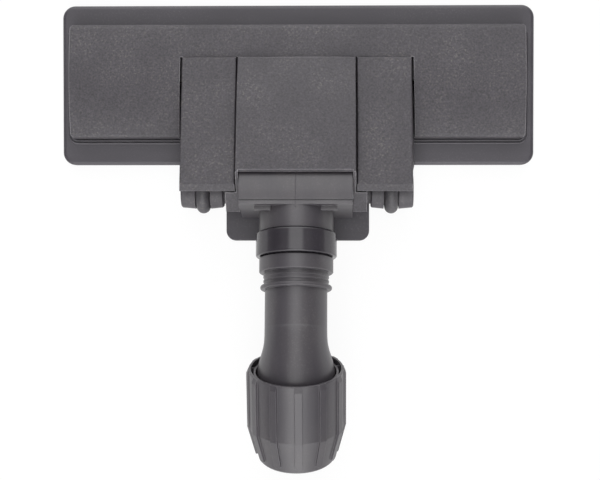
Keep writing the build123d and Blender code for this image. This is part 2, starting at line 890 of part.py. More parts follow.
# Elbow: swivel flange, stop ring, rib, bend, flare and threaded socket in one moulding
with BuildPart() as elbow:
    bend_at = elbow_at - bend_reach
    revolve(
        outline(
            neck_section,
            (0, flange_start),
            (flange_radius, flange_start),
            (flange_radius, flange_end),
            (root_radius, flange_end),
            (root_radius, stop_ring_start),
            (stop_ring_radius - stop_ring_edge, stop_ring_start),
            (stop_ring_radius, stop_ring_start + stop_ring_edge),
            (stop_ring_radius, stop_ring_end - stop_ring_edge),
            (stop_ring_radius - stop_ring_edge, stop_ring_end),
            (groove_radius, stop_ring_end),
            (groove_radius, rib_start),
            (rib_radius, rib_start),
            (rib_radius, rib_end),
            (tube_radius, rib_end),
            (tube_radius, bend_at),
            (0, bend_at),
        ),
        axis=neck_axis,
    )
    rounds = elbow.edges().filter_by(GeomType.CIRCLE)
    fillet(rounds.filter_by(lambda edge: abs(edge.radius - rib_radius) < 0.01), rib_round)
    for ridge in ridge_spots:
        revolve(rect(neck_section, neck_bore, ridge_radius, ridge, ridge + ridge_width), axis=neck_axis)
    loft(
        [
            disc(bend_cross, tube_radius),
            disc(bend_middle, bend_middle_radius),
            disc(clamp_cross.offset(bend_reach), flare_start_radius),
            disc(clamp_cross.offset(flare_half), flare_half_radius),
            disc(clamp_cross.offset(flare_end), flare_radius),
        ]
    )
    revolve(
        outline(
            clamp_section,
            (0, flare_end),
            (flare_radius, flare_end),
            (thread_radius, thread_start),
            (thread_radius, socket_end - thread_lead),
            (thread_radius - thread_lead, socket_end),
            (0, socket_end),
        ),
        axis=clamp_axis,
    )
    revolve(rect(neck_section, 0, neck_bore, flange_start, bend_at), axis=neck_axis, mode=Mode.SUBTRACT)
    revolve(disc(bend_cross, neck_bore), axis=bend_axis, revolution_arc=bend_angle, mode=Mode.SUBTRACT)
    revolve(
        outline(
            clamp_section,
            (0, bend_reach),
            (neck_bore, bend_reach),
            (neck_bore, socket_start),
            (socket_radius, socket_start),
            (socket_radius, socket_end),
            (0, socket_end),
        ),
        axis=clamp_axis,
        mode=Mode.SUBTRACT,
    )

# Collet: slotted cone that closes on the tube
with BuildPart() as collet:
    revolve(
        outline(
            clamp_section,
            (collet_bore, collet_start),
            (collet_flange, collet_start),
            (collet_flange, collet_flange_end),
            (collet_root, collet_flange_end),
            (collet_tip, collet_end),
            (collet_bore, collet_end),
        ),
        axis=clamp_axis,
    )
    with BuildSketch(clamp_cross.offset(collet_flange_end)):
        with PolarLocations((collet_bore + collet_flange) / 2, collet_slots):
            Rectangle(collet_flange, collet_slot)
    extrude(amount=collet_end - collet_flange_end, mode=Mode.SUBTRACT)

# Clamp ring: cone that the nut pushes along the collet
with BuildPart() as clamp_ring:
    collet_taper = (collet_root - collet_tip) / (collet_end - collet_flange_end)
    ring_in_start = collet_root - collet_taper * (ring_start - collet_flange_end) + ring_gap
    ring_in_end = collet_root - collet_taper * (ring_end - collet_flange_end) + ring_gap
    revolve(
        outline(
            clamp_section,
            (ring_in_start, ring_start),
            (ring_start_radius, ring_start),
            (ring_end_radius, ring_end),
            (ring_in_end, ring_end),
        ),
        axis=clamp_axis,
    )

# One raised rib of the nut, with a rounded end on the conical nose
with BuildPart() as nut_rib:
    rib_reach = nut_radius + nut_rib_height
    extrude(
        outline(
            clamp_section,
            (nut_bore, nut_start),
            (nut_radius, nut_start),
            (rib_reach, nut_start + nut_rib_lead),
            (rib_reach, nut_shoulder),
            (rib_reach - nut_taper * (nut_rib_end - nut_shoulder), nut_rib_end),
            (nut_mouth, nut_rib_end),
            (nut_mouth, ring_end),
            (nut_bore, nut_shoulder),
        ),
        amount=nut_rib_width / 2,
        both=True,
    )
    fillet(nut_rib.edges().filter_by(Axis.X).sort_by(clamp_axis)[-2:], 0.49 * nut_rib_width)

# Clamp nut: ribbed skirt, inner sleeve and webs between them, open towards the elbow, with a conical nose
with BuildPart() as clamp_nut:
    revolve(
        outline(
            clamp_section,
            (0, nut_start),
            (nut_radius, nut_start),
            (nut_radius, nut_shoulder),
            (nut_nose_radius, nut_end - nut_nose_chamfer),
            (nut_nose_radius - nut_nose_chamfer, nut_end),
            (0, nut_end),
        ),
        axis=clamp_axis,
    )
    fillet(clamp_nut.edges().filter_by(GeomType.CIRCLE).sort_by(clamp_axis)[0], nut_rim_round)
    for turn in range(nut_ribs):
        add(nut_rib.part.rotate(clamp_axis, 360 / nut_ribs * turn + nut_rest_turn))
    cell_in = nut_bore + nut_sleeve
    cell_out = nut_radius - nut_skirt
    revolve(
        rect(clamp_section, cell_in, cell_out, nut_start, nut_cell_end), axis=clamp_axis, mode=Mode.SUBTRACT
    )
    with BuildSketch(clamp_cross.offset(nut_start + nut_recess)):
        with PolarLocations((cell_in + cell_out) / 2, nut_ribs, start_angle=180 / nut_ribs + nut_rest_turn):
            Rectangle(cell_out - cell_in + nut_skirt, nut_web)
    extrude(amount=nut_cell_end - nut_start - nut_recess)
    ring_stop = ring_end + nut_seat_gap
    revolve(
        outline(
            clamp_section,
            (0, nut_start),
            (cell_out, nut_start),
            (cell_out, nut_start + nut_recess),
            (nut_bore, nut_start + nut_recess),
            (nut_bore, ring_start - nut_web),
            (ring_start_radius + nut_seat_gap, ring_start),
            (ring_end_radius + nut_seat_gap, ring_stop),
            (nut_mouth, ring_stop),
            (nut_mouth, nut_end),
            (0, nut_end),
        ),
        axis=clamp_axis,
        mode=Mode.SUBTRACT,
    )

# Right wheel: tapered hub, round tyre in its groove, stub axle and push-on clip
groove_low = tyre_middle - tyre_width / 2 - tyre_side_gap
groove_high = tyre_middle + tyre_width / 2 + tyre_side_gap
axle_bore = axle_radius + axle_gap
clip_inner = hub_outer - hub_recess_depth + clip_gap

with BuildPart() as wheel_hub_right:
    revolve(
        outline(
            wheel_section,
            (axle_bore, hub_inner + hub_face_depth),
            (hub_face, hub_inner + hub_face_depth),
            (hub_face, hub_inner),
            (hub_end_radius - hub_bevel, hub_inner),
            (hub_end_radius, hub_inner + hub_bevel),
            (hub_radius, groove_low),
            (tyre_seat, groove_low),
            (tyre_seat, groove_high),
            (hub_radius, groove_high),
            (hub_end_radius, hub_outer - hub_bevel),
            (hub_end_radius - hub_bevel, hub_outer),
            (hub_recess, hub_outer),
            (hub_recess, hub_outer - hub_recess_depth),
            (axle_bore, hub_outer - hub_recess_depth),
        ),
        axis=wheel_axis,
    )

with BuildPart() as wheel_tyre_right:
    with BuildSketch(wheel_section):
        with BuildLine():
            tread = ThreePointArc(
                (tyre_shoulder, tyre_middle - tyre_width / 2),
                (tyre_radius, tyre_middle),
                (tyre_shoulder, tyre_middle + tyre_width / 2),
            )
            bead = tyre_seat + tyre_seat_gap
            Polyline(
                tread @ 1,
                (bead, tyre_middle + tyre_width / 2),
                (bead, tyre_middle - tyre_width / 2),
                tread @ 0,
            )
        make_face()
    revolve(axis=wheel_axis)

with BuildPart() as wheel_axle_right:
    extrude(disc(Plane.YZ.offset(axle_inner), axle_radius, wheel_y, wheel_z), amount=axle_outer - axle_inner)

with BuildPart() as axle_clip_right:
    revolve(
        rect(wheel_section, axle_radius + axle_seat, clip_radius, clip_inner, clip_inner + clip_thickness),
        axis=wheel_axis,
    )

with BuildPart() as neck_pin_right:
    pin_inner = drum_half_width - drum_disc
    extrude(disc(Plane.YZ.offset(pin_inner), pin_radius, pivot_y, pivot_z), amount=pin_outer - pin_inner)

with BuildPart() as wheel_hub_left:
    mirror(wheel_hub_right.part, about=Plane.YZ)

with BuildPart() as wheel_tyre_left:
    mirror(wheel_tyre_right.part, about=Plane.YZ)

with BuildPart() as wheel_axle_left:
    mirror(wheel_axle_right.part, about=Plane.YZ)

with BuildPart() as axle_clip_left:
    mirror(axle_clip_right.part, about=Plane.YZ)

with BuildPart() as neck_pin_left:
    mirror(neck_pin_right.part, about=Plane.YZ)

pieces = {
    "base_housing": base_housing.part,
    "top_shell": top_shell.part,
    "neck_hood": neck_hood.part,
    "right_tread": right_tread.part,
    "left_tread": left_tread.part,
    "pedal_shaft": pedal_shaft.part,
    "brush_carrier": brush_carrier.part,
    "front_brush_back": brush_back(front_slot),
    "rear_brush_back": brush_back(rear_slot),
    "front_bristles": bristle_row(front_slot),
    "rear_bristles": bristle_row(rear_slot),
    "lift_spring_left": lift_spring(-post_x),
    "lift_spring_right": lift_spring(post_x),
    "lint_strip_left": lint_strip(-lint_middle),
    "lint_strip_right": lint_strip(lint_middle),
    "housing_screws": housing_screws.part,
    "yoke": yoke.part,
    "neck_pin_left": neck_pin_left.part,
    "neck_pin_right": neck_pin_right.part,
    "swivel_seal": swivel_seal.part,
    "swivel_collar": swivel_collar.part,
    "elbow": elbow.part,
    "collet": collet.part,
    "clamp_ring": clamp_ring.part,
    "clamp_nut": clamp_nut.part,
    "wheel_hub_left": wheel_hub_left.part,
    "wheel_hub_right": wheel_hub_right.part,
    "wheel_tyre_left": wheel_tyre_left.part,
    "wheel_tyre_right": wheel_tyre_right.part,
    "wheel_axle_left": wheel_axle_left.part,
    "wheel_axle_right": wheel_axle_right.part,
    "axle_clip_left": axle_clip_left.part,
    "axle_clip_right": axle_clip_right.part,
}

os.makedirs("parts", exist_ok=True)
for name, piece in pieces.items():
    piece.label = name
    export_step(piece, f"parts/{name}.step")
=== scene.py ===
import json
import math
import random

import bmesh
import bpy
from mathutils import Matrix, Vector


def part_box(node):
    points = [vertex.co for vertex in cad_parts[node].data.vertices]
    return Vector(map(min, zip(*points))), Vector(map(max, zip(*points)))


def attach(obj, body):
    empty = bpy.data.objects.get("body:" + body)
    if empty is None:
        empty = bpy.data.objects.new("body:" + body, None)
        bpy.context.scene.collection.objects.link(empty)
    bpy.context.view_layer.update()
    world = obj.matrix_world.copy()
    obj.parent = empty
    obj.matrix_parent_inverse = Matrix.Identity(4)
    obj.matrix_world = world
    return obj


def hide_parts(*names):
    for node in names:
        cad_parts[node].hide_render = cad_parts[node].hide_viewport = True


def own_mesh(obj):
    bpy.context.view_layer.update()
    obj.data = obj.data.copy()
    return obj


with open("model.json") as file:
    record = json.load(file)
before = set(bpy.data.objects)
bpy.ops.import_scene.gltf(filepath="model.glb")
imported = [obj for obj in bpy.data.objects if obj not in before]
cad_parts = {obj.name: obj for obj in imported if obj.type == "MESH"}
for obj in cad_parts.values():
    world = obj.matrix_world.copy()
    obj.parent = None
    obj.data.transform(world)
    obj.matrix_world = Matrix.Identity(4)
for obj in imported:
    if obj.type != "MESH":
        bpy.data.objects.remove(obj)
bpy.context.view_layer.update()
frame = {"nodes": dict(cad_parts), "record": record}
scene = bpy.context.scene
cadNodes = frame["nodes"]
print("frame loaded,", len(cadNodes), "CAD nodes")


# Camera: above the floor head, leaning by about two degrees
cameraSetup = {
    "lookAt": (0.0012, -0.0890, 0.0),
    "lookDown": (-0.0262, -0.0247, -0.9994),
    "distance": 0.900,
    "lens": 93.08,
    "sensor": 36.0,
    "farClip": 20.0,
}

cameraData = bpy.data.cameras.new("topCamera")
cameraData.lens = cameraSetup["lens"]
cameraData.sensor_width = cameraSetup["sensor"]
cameraData.sensor_fit = "HORIZONTAL"
cameraData.clip_end = cameraSetup["farClip"]
camera = bpy.data.objects.new("topCamera", cameraData)
scene.collection.objects.link(camera)
lookDown = Vector(cameraSetup["lookDown"]).normalized()
cameraRight = lookDown.cross(Vector((0, 1, 0))).normalized()
cameraUp = cameraRight.cross(lookDown)
cameraTurn = Matrix((cameraRight, cameraUp, -lookDown)).transposed()
cameraPlace = Vector(cameraSetup["lookAt"]) - lookDown * cameraSetup["distance"]
camera.matrix_world = Matrix.Translation(cameraPlace) @ cameraTurn.to_4x4()
scene.camera = camera
scene.view_settings.view_transform = "Standard"
print("camera placed")


def hexColour(text):
    # sRGB hex to the linear values that the shader takes
    linear = []
    for spot in (1, 3, 5):
        part = int(text[spot:spot + 2], 16) / 255
        linear.append(part / 12.92 if part <= 0.04045 else ((part + 0.055) / 1.055) ** 2.4)
    return (*linear, 1.0)


def inMetres(millimetres):
    return millimetres / 1000


def perMetre(millimetres):
    # texture scale that gives a pattern of this size, in object coordinates
    return 1000.0 / millimetres


def addNode(tree, kind, inputs=None, stops=(), **settings):
    made = tree.nodes.new("ShaderNode" + kind)
    for name, value in settings.items():
        setattr(made, name, value)
    for name, value in (inputs or {}).items():
        if isinstance(value, bpy.types.NodeSocket):
            tree.links.new(value, made.inputs[name])
        else:
            made.inputs[name].default_value = value
    # places and colours on a colour ramp
    if stops:
        elements = made.color_ramp.elements
        while len(elements) < len(stops):
            elements.new(0.5)
        for element, (place, colour) in zip(elements, stops):
            element.position = place
            element.color = colour
    return made


def startMaterial(name):
    material = bpy.data.materials.new(name)
    material.use_nodes = True
    tree = material.node_tree
    return material, tree, tree.nodes["Principled BSDF"]


# Studio: white floor, and a world that sums three lights with soft sides. The strip runs overhead from back to
# front, the wider wall is brightest low down behind and in front, and the tent glows dimly round the horizon.
studioSetup = {
    "floorHalf": 6.0,
    "floorCells": 4,
    "floorDrop": 0.0002,
    "floorWhite": "#FAFAFA",
    "floorRough": 0.9,
    "floorGlow": 0.92,
    # place along the axis and level, from the back to the front
    "stripBands": [(-1.0, 0.8), (-0.75, 2.8), (-0.50, 2.4), (-0.25, 1.5), (0.0, 1.4),
                   (0.25, 2.5), (0.50, 1.4), (0.75, 1.2), (1.0, 1.2)],
    "stripEdges": (0.24, 0.42),  # full inside the first, gone past the second
    "wallBands": [(-1.0, 1.8), (-0.75, 1.2), (-0.50, 0.3), (-0.25, 0.0), (0.0, 0.0),
                  (0.25, 0.2), (0.50, 0.6), (0.75, 1.5), (1.0, 1.6)],
    "wallEdges": (0.55, 0.85),
    "tentBands": [(0.0, 0.35), (0.30, 0.10), (1.0, 0.0)],  # up from the horizon
    "tentEdges": (1.0, 2.0),  # the whole width
    "rampTop": 8.0,  # level of a full stop on the ramps
}
white = (1, 1, 1, 1)

floorMaterial, tree, shader = startMaterial("paintedBoardWhite")
shader.inputs["Base Color"].default_value = hexColour(studioSetup["floorWhite"])
shader.inputs["Roughness"].default_value = studioSetup["floorRough"]
shader.inputs["Specular IOR Level"].default_value = 0.0
path = addNode(tree, "LightPath")
seen = path.outputs["Is Camera Ray"]
for rayKind in ("Is Glossy Ray", "Is Transmission Ray"):
    seen = addNode(tree, "Math", {0: seen, 1: path.outputs[rayKind]}, operation="MAXIMUM").outputs[0]
share = addNode(tree, "Math", {0: seen, 1: studioSetup["floorGlow"]}, operation="MULTIPLY")
glow = addNode(tree, "Emission", {"Color": white, "Strength": 1.0})
mixed = addNode(tree, "MixShader", {0: share.outputs[0], 1: shader.outputs[0], 2: glow.outputs[0]})
tree.links.new(mixed.outputs[0], tree.nodes["Material Output"].inputs["Surface"])

floorMesh = bmesh.new()
cells = studioSetup["floorCells"]
bmesh.ops.create_grid(floorMesh, x_segments=cells, y_segments=cells, size=studioSetup["floorHalf"])
floorData = bpy.data.meshes.new("floor")
floorMesh.to_mesh(floorData)
floorMesh.free()
floor = bpy.data.objects.new("floor", floorData)
floor.location.z = -studioSetup["floorDrop"]
floorData.materials.append(floorMaterial)
scene.collection.objects.link(floor)

world = bpy.data.worlds.new("whiteTent")
scene.world = world
world.use_nodes = True
tree = world.node_tree
ray = addNode(tree, "TexCoord")
axes = addNode(tree, "SeparateXYZ", {0: ray.outputs["Generated"]})
sideways = addNode(tree, "Math", {0: axes.outputs["X"]}, operation="ABSOLUTE")
light = (0.0, 0.0, 0.0)
for lightName, axis, lowest in (("strip", "Y", -1.0), ("wall", "Y", -1.0), ("tent", "Z", 0.0)):
    along = addNode(tree, "MapRange", {"Value": axes.outputs[axis], "From Min": lowest, "From Max": 1.0})
    ramp = addNode(tree, "ValToRGB", {0: along.outputs["Result"]}, stops=[
        ((place - lowest) / (1.0 - lowest), (*[level / studioSetup["rampTop"]] * 3, 1))
        for place, level in studioSetup[lightName + "Bands"]
    ])
    full, gone = studioSetup[lightName + "Edges"]
    inside = addNode(tree, "MapRange", {
        "Value": sideways.outputs[0], "From Min": full, "From Max": gone, "To Min": 1.0, "To Max": 0.0,
    }, interpolation_type="SMOOTHSTEP")
    light = addNode(tree, "VectorMath", {0: ramp.outputs["Color"], 1: inside.outputs["Result"], 2: light},
                    operation="MULTIPLY_ADD").outputs[0]
tentLight = tree.nodes["Background"]
tree.links.new(light, tentLight.inputs["Color"])
tentLight.inputs["Strength"].default_value = studioSetup["rampTop"]
path = addNode(tree, "LightPath")
backdrop = addNode(tree, "Background", {"Color": white, "Strength": 1.0})
mixed = addNode(tree, "MixShader", {
    0: path.outputs["Is Camera Ray"], 1: tentLight.outputs[0], 2: backdrop.outputs[0],
})
tree.links.new(mixed.outputs[0], tree.nodes["World Output"].inputs["Surface"])
print("studio set")


# Moulded plastics share one recipe: colour mottle, mould grain, dust, rounded edges painted lighter, partly
# rubbed wear and partly a painted highlight
mouldSetup = {
    "grainDetail": 2.0, "grainRough": 0.62,
    "flowDetail": 3.0, "flowRough": 0.5,
    "toneStops": (0.32, 0.68),
    "speckleFrom": {"From Min": 0.25, "From Max": 0.75},
    "dustDetail": 1.0,
    "dustFrom": {"From Min": 0.55, "From Max": 0.72},
    "patchFrom": {"From Min": 0.40, "From Max": 0.62},
    "thinDust": 0.25,  # what is left between the patches
    "edgeSamples": 8,
    "rubAndHighlightFrom": {"From Min": 0.99, "From Max": 0.85},  # cosine of the normal's turn
    "glossFrom": {"From Min": 0.2, "From Max": 0.8},
}


def mouldedPlastic(look):
    material, tree, shader = startMaterial(look["name"])
    place = addNode(tree, "TexCoord").outputs["Object"]
    grain = addNode(tree, "TexNoise", {
        "Vector": place, "Scale": perMetre(look["grainSize"]),
        "Detail": mouldSetup["grainDetail"], "Roughness": mouldSetup["grainRough"],
    })
    stretched = addNode(tree, "Mapping", {"Vector": place, "Scale": look["flowStretch"]})
    flow = addNode(tree, "TexNoise", {
        "Vector": stretched.outputs[0], "Scale": perMetre(look["flowSize"]),
        "Detail": mouldSetup["flowDetail"], "Roughness": mouldSetup["flowRough"],
    })
    colours = (hexColour(look["dark"]), hexColour(look["light"]))
    tone = addNode(tree, "ValToRGB", {0: flow.outputs["Fac"]},
                   stops=list(zip(mouldSetup["toneStops"], colours)))
    speck = addNode(tree, "MapRange", {
        "Value": grain.outputs["Fac"], **mouldSetup["speckleFrom"],
        "To Min": 1.0 - look["speckle"], "To Max": 1.0 + look["speckle"],
    })
    grained = addNode(tree, "VectorMath", {0: tone.outputs["Color"], 1: speck.outputs["Result"]},
                      operation="MULTIPLY")
    # pale dust, caught in the grain in patches
    dust = addNode(tree, "TexNoise", {
        "Vector": place, "Scale": perMetre(look["dustSize"]), "Detail": mouldSetup["dustDetail"],
    })
    caught = addNode(tree, "MapRange", {"Value": dust.outputs["Fac"], **mouldSetup["dustFrom"]})
    patches = addNode(tree, "MapRange", {
        "Value": flow.outputs["Fac"], **mouldSetup["patchFrom"],
        "To Min": mouldSetup["thinDust"] * look["dustShare"], "To Max": look["dustShare"],
    })
    dusted = addNode(tree, "Math", {0: caught.outputs["Result"], 1: patches.outputs["Result"]},
                     operation="MULTIPLY")
    dusty = addNode(tree, "Mix", {0: dusted.outputs[0], 6: grained.outputs[0], 7: hexColour(look["dust"])},
                    data_type="RGBA")
    # edges: where the rounded normal leaves the surface normal; the lighter edge colour there is partly rubbed
    # wear and partly a painted highlight
    rounded = addNode(tree, "Bevel", {"Radius": inMetres(look["edgeRound"])}, samples=mouldSetup["edgeSamples"])
    surface = addNode(tree, "NewGeometry")
    turned = addNode(tree, "VectorMath", {0: rounded.outputs[0], 1: surface.outputs["Normal"]},
                     operation="DOT_PRODUCT")
    # edge lightening: partly rubbed wear, partly a painted highlight along the edges
    rubAndHighlight = addNode(tree, "MapRange", {
        "Value": turned.outputs["Value"], **mouldSetup["rubAndHighlightFrom"], "To Min": 0.0, "To Max": look["edgeRubAndHighlight"],
    })
    patchyRubAndHighlight = addNode(tree, "Math", {0: rubAndHighlight.outputs["Result"], 1: flow.outputs["Fac"]}, operation="MULTIPLY")
    coloured = addNode(tree, "Mix", {0: patchyRubAndHighlight.outputs[0], 6: dusty.outputs[2], 7: hexColour(look["edge"])},
                       data_type="RGBA")
    gloss = addNode(tree, "MapRange", {
        "Value": grain.outputs["Fac"], **mouldSetup["glossFrom"],
        "To Min": look["roughness"] - look["roughSpread"], "To Max": look["roughness"] + look["roughSpread"],
    })
    bump = addNode(tree, "Bump", {
        "Height": grain.outputs["Fac"], "Distance": inMetres(look["grainDepth"]), "Strength": look["bump"],
        "Normal": rounded.outputs[0],
    })
    shader.inputs["IOR"].default_value = look["ior"]
    for name, socket in (("Base Color", coloured.outputs[2]), ("Roughness", gloss.outputs["Result"]),
                         ("Normal", bump.outputs[0])):
        tree.links.new(socket, shader.inputs[name])
    return material


# ABS from a spark-eroded mould: a matt, sandy skin without clear reflections, edges painted near white, partly
# rubbed wear and partly a painted highlight
absGrained = mouldedPlastic({
    "name": "absSparkErodedGrey", "dark": "#3B383D", "light": "#423F44", "edge": "#C4C1C6",
    "grainSize": 1.1,  # really about 0.3 mm, drawn coarser so that it shows
    "grainDepth": 0.06, "bump": 0.6, "speckle": 0.5, "flowSize": 26.0, "flowStretch": (1.0, 1.0, 1.0),
    "roughness": 0.56, "roughSpread": 0.06, "edgeRound": 0.8, "edgeRubAndHighlight": 1.0, "ior": 1.50,
    "dust": "#7F7A74", "dustSize": 1.2, "dustShare": 0.30,
})
# Polypropylene from a stoned mould: satin, with faint flow marks along the long side
ppHousing = mouldedPlastic({
    "name": "polypropyleneSatinHousing", "dark": "#3D3A40", "light": "#454248", "edge": "#8C898F",
    "grainSize": 0.9, "grainDepth": 0.012, "bump": 0.5, "speckle": 0.05, "flowSize": 30.0,
    "flowStretch": (0.4, 1.6, 1.0), "roughness": 0.46, "roughSpread": 0.05, "edgeRound": 0.5,
    "edgeRubAndHighlight": 0.6, "ior": 1.49, "dust": "#7C787A", "dustSize": 1.0, "dustShare": 0.16,
})
# The neck's polypropylene: the same satin skin, flow marks along the tube
ppNeck = mouldedPlastic({
    "name": "polypropyleneSatinNeck", "dark": "#403D42", "light": "#494649", "edge": "#959298",
    "grainSize": 0.9, "grainDepth": 0.012, "bump": 0.5, "speckle": 0.05, "flowSize": 22.0,
    "flowStretch": (1.8, 0.5, 1.0), "roughness": 0.37, "roughSpread": 0.04, "edgeRound": 0.4,
    "edgeRubAndHighlight": 0.6, "ior": 1.54, "dust": "#7C787A", "dustSize": 1.0, "dustShare": 0.14,
})
# Acetal from a polished mould: dark and glossy, so that it mirrors the bright floor at its sides
acetalGloss = mouldedPlastic({
    "name": "acetalPolishedCollar", "dark": "#2F2C31", "light": "#353237", "edge": "#7A777D",
    "grainSize": 3.0, "grainDepth": 0.006, "bump": 0.4, "speckle": 0.03, "flowSize": 18.0,
    "flowStretch": (1.0, 1.0, 1.0), "roughness": 0.16, "roughSpread": 0.03, "edgeRound": 0.35,
    "edgeRubAndHighlight": 0.3, "ior": 1.50, "dust": "#66636A", "dustSize": 1.0, "dustShare": 0.08,
})
# Wheel halves in polypropylene, scuffed by the floor
ppWheel = mouldedPlastic({
    "name": "polypropyleneScuffedWheel", "dark": "#3F3C41", "light": "#4A474C", "edge": "#817E84",
    "grainSize": 1.0, "grainDepth": 0.02, "bump": 0.6, "speckle": 0.08, "flowSize": 8.0,
    "flowStretch": (3.0, 1.0, 1.0), "roughness": 0.50, "roughSpread": 0.08, "edgeRound": 0.4,
    "edgeRubAndHighlight": 0.8, "ior": 1.49, "dust": "#858078", "dustSize": 1.0, "dustShare": 0.25,
})
# Thermoplastic rubber: dark grey, a little dusty, with a soft gloss
rubberTyre = mouldedPlastic({
    "name": "rubberMouldedTyre", "dark": "#3F3D41", "light": "#49474B", "edge": "#605E62",
    "grainSize": 0.8, "grainDepth": 0.05, "bump": 0.7, "speckle": 0.16, "flowSize": 6.0,
    "flowStretch": (1.0, 1.0, 1.0), "roughness": 0.52, "roughSpread": 0.08, "edgeRound": 0.4,
    "edgeRubAndHighlight": 0.5, "ior": 1.52, "dust": "#858078", "dustSize": 0.9, "dustShare": 0.3,
})
# Unseen working parts in black polypropylene, as it comes from the mould
ppInner = mouldedPlastic({
    "name": "polypropyleneBlackInner", "dark": "#2E2D30", "light": "#39383B", "edge": "#5E5C60",
    "grainSize": 0.9, "grainDepth": 0.015, "bump": 0.5, "speckle": 0.06, "flowSize": 16.0,
    "flowStretch": (0.5, 1.5, 1.0), "roughness": 0.44, "roughSpread": 0.06, "edgeRound": 0.3,
    "edgeRubAndHighlight": 0.4, "ior": 1.49, "dust": "#5E5C60", "dustSize": 1.0, "dustShare": 0.12,
})

# Zinc-plated steel: bright, faintly bluish, drawn lines under the plating
steelSetup = {
    "dark": "#9FA3AA", "light": "#C6C9CD", "lineSize": 0.5, "lineStretch": (0.05, 1.0, 1.0), "lineDetail": 3.0,
    "lineDepth": 0.00001, "bump": 0.5, "roughness": 0.30, "roughSpread": 0.08,
}
steelZinc, tree, shader = startMaterial("steelZincPlated")
place = addNode(tree, "TexCoord").outputs["Object"]
drawn = addNode(tree, "Mapping", {"Vector": place, "Scale": steelSetup["lineStretch"]})
lines = addNode(tree, "TexNoise", {
    "Vector": drawn.outputs[0], "Scale": perMetre(steelSetup["lineSize"]), "Detail": steelSetup["lineDetail"],
})
tone = addNode(tree, "ValToRGB", {0: lines.outputs["Fac"]}, stops=[
    (0.0, hexColour(steelSetup["dark"])), (1.0, hexColour(steelSetup["light"])),
])
gloss = addNode(tree, "MapRange", {
    "Value": lines.outputs["Fac"],
    "To Min": steelSetup["roughness"] - steelSetup["roughSpread"],
    "To Max": steelSetup["roughness"] + steelSetup["roughSpread"],
})
bump = addNode(tree, "Bump", {
    "Height": lines.outputs["Fac"], "Distance": steelSetup["lineDepth"], "Strength": steelSetup["bump"],
})
shader.inputs["Metallic"].default_value = 1.0
tree.links.new(tone.outputs["Color"], shader.inputs["Base Color"])
tree.links.new(gloss.outputs["Result"], shader.inputs["Roughness"])
tree.links.new(bump.outputs[0], shader.inputs["Normal"])

# Nylon filament, extruded and cut: near black, each filament a little different, a slight sheen
nylonSetup = {
    "dark": "#1C1C1F", "light": "#3B3A3E", "toneStops": (0.3, 0.7), "filamentSize": 0.45,
    "filamentStretch": (1.0, 1.0, 0.06), "filamentDetail": 1.0, "roughness": 0.38, "ior": 1.53,
}
nylonBristle, tree, shader = startMaterial("nylonFilamentCut")
place = addNode(tree, "TexCoord").outputs["Object"]
flat = addNode(tree, "Mapping", {"Vector": place, "Scale": nylonSetup["filamentStretch"]})
each = addNode(tree, "TexNoise", {
    "Vector": flat.outputs[0], "Scale": perMetre(nylonSetup["filamentSize"]),
    "Detail": nylonSetup["filamentDetail"],
})
colours = (hexColour(nylonSetup["dark"]), hexColour(nylonSetup["light"]))
tone = addNode(tree, "ValToRGB", {0: each.outputs["Fac"]}, stops=list(zip(nylonSetup["toneStops"], colours)))
shader.inputs["Roughness"].default_value = nylonSetup["roughness"]
shader.inputs["IOR"].default_value = nylonSetup["ior"]
tree.links.new(tone.outputs["Color"], shader.inputs["Base Color"])

# Lint pile, woven and brushed one way: dull burgundy with paler tips
pileSetup = {
    "dark": "#5A2024", "light": "#8A3A3D", "toneStops": (0.35, 0.65), "fibreSize": 0.6, "patchSize": 9.0,
    "detail": 2.0, "roughness": 0.9, "sheen": 0.35,
}
pileFabric, tree, shader = startMaterial("nylonPileBrushed")
place = addNode(tree, "TexCoord").outputs["Object"]
fibre, patch = [
    addNode(tree, "TexNoise", {"Vector": place, "Scale": perMetre(size), "Detail": pileSetup["detail"]})
    for size in (pileSetup["fibreSize"], pileSetup["patchSize"])
]
both = addNode(tree, "Math", {0: fibre.outputs["Fac"], 1: patch.outputs["Fac"]}, operation="ADD")
half = addNode(tree, "Math", {0: both.outputs[0], 1: 0.5}, operation="MULTIPLY")
colours = (hexColour(pileSetup["dark"]), hexColour(pileSetup["light"]))
tone = addNode(tree, "ValToRGB", {0: half.outputs[0]}, stops=list(zip(pileSetup["toneStops"], colours)))
shader.inputs["Roughness"].default_value = pileSetup["roughness"]
shader.inputs["Sheen Weight"].default_value = pileSetup["sheen"]
tree.links.new(tone.outputs["Color"], shader.inputs["Base Color"])
print("materials made")

slotMaterials = {
    "grained_shell": absGrained,
    "housing_plastic": ppHousing,
    "neck_plastic": ppNeck,
    "collar_plastic": acetalGloss,
    "wheel_plastic": ppWheel,
    "tyre_rubber": rubberTyre,
    "inner_plastic": ppInner,
    "bristle_nylon": nylonBristle,
    "lint_pile": pileFabric,
    "plated_steel": steelZinc,
}
for part in frame["record"]["subparts"]:
    partMesh = cadNodes[part["node"]].data
    partMesh.materials.clear()
    partMesh.materials.append(slotMaterials[part["material_slot"]])
print("CAD nodes finished in", len(slotMaterials), "materials")


fullTurn = 2 * math.pi
smoothBelow = math.radians(40)
straightUp = Vector((0, 0, 1))


def aroundUpright(x, y, z, radius, angle):
    return Vector((x + radius * math.cos(angle), y + radius * math.sin(angle), z))


def skinRings(shape, rings):
    # faces between each ring of corners and the next
    for first, second in zip(rings, rings[1:]):
        for turn in range(len(first)):
            after = (turn + 1) % len(first)
            shape.faces.new((first[turn], first[after], second[after], second[turn]))


